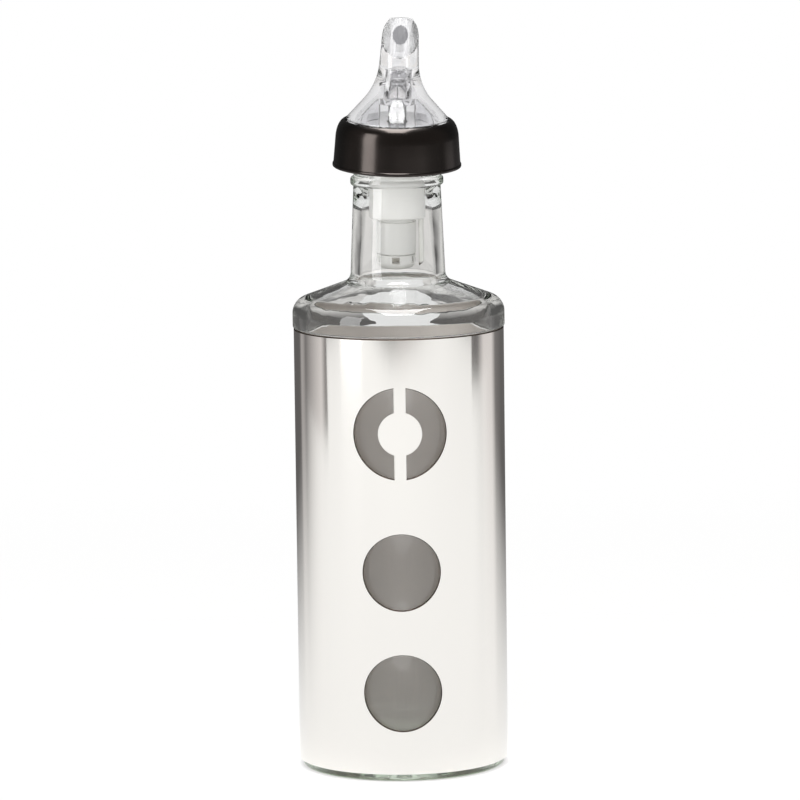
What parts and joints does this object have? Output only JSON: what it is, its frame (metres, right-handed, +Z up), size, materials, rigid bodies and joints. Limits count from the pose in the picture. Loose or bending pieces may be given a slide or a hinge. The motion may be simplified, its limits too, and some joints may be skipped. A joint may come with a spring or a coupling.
{
  "type": "oil cruet",
  "caption": "Round glass oil bottle in a pierced steel sleeve, with a push-in measuring pourer: black bell collar, clear leaning spout and a ball valve in the neck.",
  "frame": {"origin": "centre of the bottle's base, on the surface that it stands on", "axes": "+Z up along the bottle's axis; the sleeve's windows and the spout's mouth face -Y; +X is to the right of someone who faces the windows"},
  "size_m": [0.0706, 0.0706, 0.2505],
  "materials": {
    "polished_steel": "polished stainless steel, cut edges left plain",
    "bottle_glass": "clear soda-lime glass, faintly green at its thick edges",
    "stopper_plastic": "milky polyethylene",
    "breather_plastic": "pale smooth plastic",
    "chamber_plastic": "pale translucent plastic",
    "ball_plastic": "natural nylon",
    "clear_plastic": "crystal-clear moulded plastic",
    "black_plastic": "gloss black"
  },
  "bodies": {
    "sleeve_body": {"sleeve": "polished_steel"},
    "bottle_body": {"bottle": "bottle_glass"},
    "stopper_body": {"stopper": "stopper_plastic", "breather_tube": "breather_plastic"},
    "pourer_body": {"collar": "black_plastic", "spout": "clear_plastic", "flow_tube": "clear_plastic", "metering_chamber": "chamber_plastic", "chamber_cap": "chamber_plastic"},
    "ball_body": {"metering_ball": "ball_plastic"}
  },
  "joints": [
    {"name": "bottle_lift", "type": "slide", "parent": "sleeve_body", "child": "bottle_body", "axis": [0, 0, 1], "range_m": [0, 0.15]},
    {"name": "pourer_lift", "type": "slide", "parent": "bottle_body", "child": "stopper_body", "axis": [0, 0, 1], "range_m": [0, 0.06]},
    {"name": "pourer_turn", "type": "hinge", "parent": "stopper_body", "child": "pourer_body", "pos_m": [0, 0, 0.198], "axis": [0.0209, -0.0872, 0.996], "continuous": true},
    {"name": "ball_travel", "type": "slide", "parent": "pourer_body", "child": "ball_body", "axis": [0.0209, -0.0872, 0.996], "range_m": [0, 0.0249]}
  ]
}
